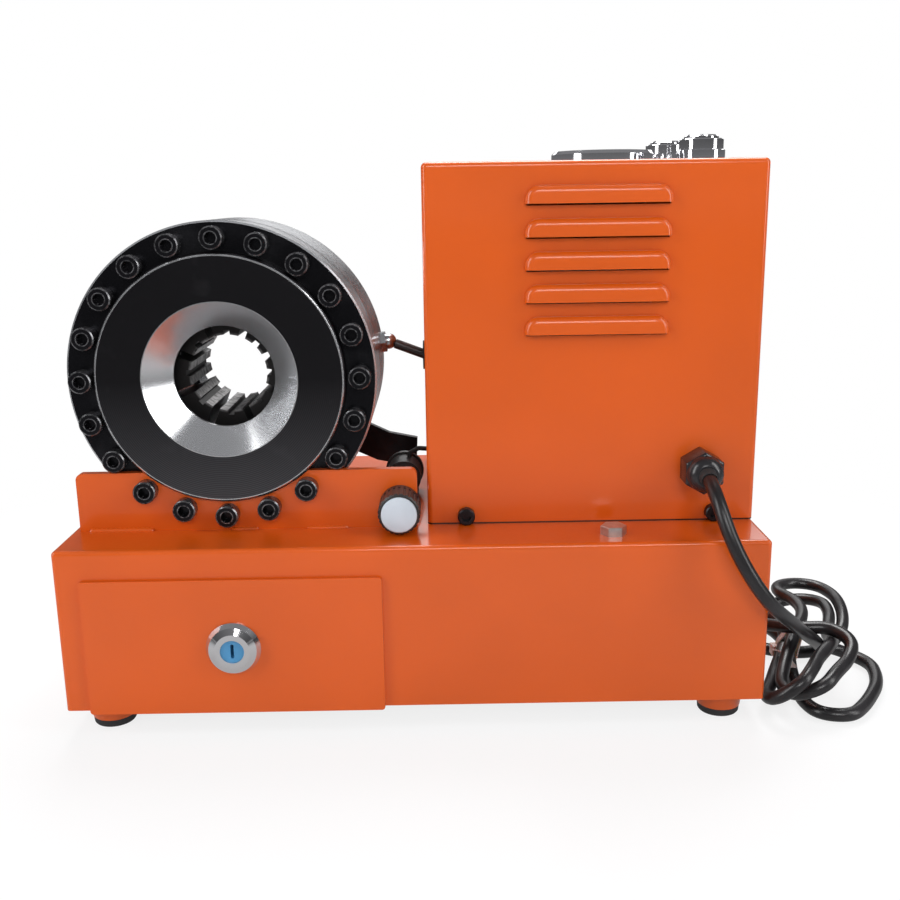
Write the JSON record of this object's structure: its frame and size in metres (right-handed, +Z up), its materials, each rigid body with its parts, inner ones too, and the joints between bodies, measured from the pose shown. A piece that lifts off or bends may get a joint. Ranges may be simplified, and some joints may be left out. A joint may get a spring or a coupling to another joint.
{
  "type": "hose crimping machine",
  "caption": "Bench hose crimping machine: ring of dies closed by a hydraulic ring piston, on a sheet steel base with a drawer, motor tower, gauge and push-buttons.",
  "frame": {"origin": "on the floor, under the middle of the machine without its cord", "axes": "+X to the right seen from the hose mouth, +Y to the back along the crimping head's axis, +Z up"},
  "size_m": [0.4939, 0.2348, 0.331],
  "materials": {
    "orange_enamel": "gloss orange enamel on sheet steel",
    "zinc_steel": "zinc plated",
    "black_oxide": "black oxide, lightly oiled",
    "turned_steel": "bright turned steel",
    "dark_pipe": "black coated steel pipe",
    "black_rubber": "matt",
    "black_plastic": "satin black",
    "pale_plastic": "pale grey",
    "chrome": "polished",
    "blue_plug": "blue",
    "dial_white": "white dial in a black case",
    "needle_black": "matt black",
    "gauge_glass": "clear",
    "cord_pvc": "satin dark grey PVC",
    "nylon_tie": "natural nylon, slightly see-through",
    "motor_paint": "grey"
  },
  "bodies": {
    "machine": {"base_shell": "orange_enamel", "front_bracket": "orange_enamel", "rear_saddles": "orange_enamel", "tower_cover": "orange_enamel", "foot_cups": "orange_enamel", "tower_frame": "orange_enamel", "base_floor": "zinc_steel", "drawer_runners": "zinc_steel", "base_bolt": "zinc_steel", "clamp_ring": "black_oxide", "front_cap": "black_oxide", "head_screws": "black_oxide", "tower_screws": "black_oxide", "cylinder_body": "turned_steel", "pipe_fitting": "turned_steel", "pressure_pipe": "dark_pipe", "foot_pads": "black_rubber", "pipe_grommet": "black_rubber", "limit_switch": "black_plastic", "gland_body": "black_plastic", "gland_nut": "black_plastic", "mains_plug": "black_plastic", "gauge_bezel": "chrome", "button_collars": "chrome", "gauge_case": "dial_white", "gauge_glass": "gauge_glass", "power_cord_lead": "cord_pvc", "power_cord_hank": "cord_pvc", "switch_wire": "cord_pvc", "cable_tie": "nylon_tie", "motor": "motor_paint", "pump_block": "motor_paint"},
    "ring_piston": {"piston": "turned_steel", "striker_arm": "black_oxide"},
    "adjuster": {"knob": "black_plastic", "knob_cap": "pale_plastic", "adjuster_spindle": "turned_steel"},
    "close_button": {"close_button": "chrome"},
    "open_button": {"open_button": "chrome"},
    "gauge_pointer": {"gauge_needle": "needle_black"},
    "drawer": {"drawer_tray": "zinc_steel", "drawer_front": "orange_enamel", "lock_case": "chrome"},
    "lock": {"lock_plug": "blue_plug"},
    "die_1": {"master_die_1": "black_oxide", "die_insert_1": "black_oxide"},
    "die_2": {"master_die_2": "black_oxide", "die_insert_2": "black_oxide"},
    "die_3": {"master_die_3": "black_oxide", "die_insert_3": "black_oxide"},
    "die_4": {"master_die_4": "black_oxide", "die_insert_4": "black_oxide"},
    "die_5": {"master_die_5": "black_oxide", "die_insert_5": "black_oxide"},
    "die_6": {"master_die_6": "black_oxide", "die_insert_6": "black_oxide"},
    "die_7": {"master_die_7": "black_oxide", "die_insert_7": "black_oxide"},
    "die_8": {"master_die_8": "black_oxide", "die_insert_8": "black_oxide"}
  },
  "joints": [
    {"name": "piston_slide", "type": "slide", "parent": "machine", "child": "ring_piston", "axis": [0, -1, 0], "range_m": [0, 0.016], "stiffness_N_per_m": 1500, "springref_m": -0.02},
    {"name": "die_1_slide", "type": "slide", "parent": "machine", "child": "die_1", "axis": [0, -0.848, -0.5299], "range_m": [0, 0.00945]},
    {"name": "die_2_slide", "type": "slide", "parent": "machine", "child": "die_2", "axis": [-0.3747, -0.848, -0.3747], "range_m": [0, 0.00945]},
    {"name": "die_3_slide", "type": "slide", "parent": "machine", "child": "die_3", "axis": [-0.5299, -0.848, 0], "range_m": [0, 0.00945]},
    {"name": "die_4_slide", "type": "slide", "parent": "machine", "child": "die_4", "axis": [-0.3747, -0.848, 0.3747], "range_m": [0, 0.00945]},
    {"name": "die_5_slide", "type": "slide", "parent": "machine", "child": "die_5", "axis": [0, -0.848, 0.5299], "range_m": [0, 0.00945]},
    {"name": "die_6_slide", "type": "slide", "parent": "machine", "child": "die_6", "axis": [0.3747, -0.848, 0.3747], "range_m": [0, 0.00945]},
    {"name": "die_7_slide", "type": "slide", "parent": "machine", "child": "die_7", "axis": [0.5299, -0.848, 0], "range_m": [0, 0.00945]},
    {"name": "die_8_slide", "type": "slide", "parent": "machine", "child": "die_8", "axis": [0.3747, -0.848, -0.3747], "range_m": [0, 0.00945]},
    {"name": "knob_turn", "type": "hinge", "parent": "machine", "child": "adjuster", "pos_m": [-0.0075, -0.0776, 0.1248], "axis": [0, -1, 0], "range_deg": [-165, 165]},
    {"name": "close_button_press", "type": "slide", "parent": "machine", "child": "close_button", "axis": [0, 0, -1], "range_m": [0, 0.004], "stiffness_N_per_m": 800, "springref_m": -0.002},
    {"name": "open_button_press", "type": "slide", "parent": "machine", "child": "open_button", "axis": [0, 0, -1], "range_m": [0, 0.004], "stiffness_N_per_m": 800, "springref_m": -0.002},
    {"name": "gauge_pointer_turn", "type": "hinge", "parent": "machine", "child": "gauge_pointer", "pos_m": [0.1155, -0.0076, 0.3201], "axis": [0, 0, -1], "range_deg": [0, 270], "stiffness_Nm_per_rad": 0.0004, "springref_deg": -11.46},
    {"name": "drawer_slide", "type": "slide", "parent": "machine", "child": "drawer", "axis": [0, -1, 0], "range_m": [0, 0.14]},
    {"name": "lock_turn", "type": "hinge", "parent": "drawer", "child": "lock", "pos_m": [-0.1015, -0.1036, 0.054], "axis": [0, -1, 0], "range_deg": [0, 90]}
  ],
  "couplings": [
    {"joint": "die_1_slide", "follows": "piston_slide", "ratio": 0.58959},
    {"joint": "die_2_slide", "follows": "piston_slide", "ratio": 0.58959},
    {"joint": "die_3_slide", "follows": "piston_slide", "ratio": 0.58959},
    {"joint": "die_4_slide", "follows": "piston_slide", "ratio": 0.58959},
    {"joint": "die_5_slide", "follows": "piston_slide", "ratio": 0.58959},
    {"joint": "die_6_slide", "follows": "piston_slide", "ratio": 0.58959},
    {"joint": "die_7_slide", "follows": "piston_slide", "ratio": 0.58959},
    {"joint": "die_8_slide", "follows": "piston_slide", "ratio": 0.58959}
  ]
}
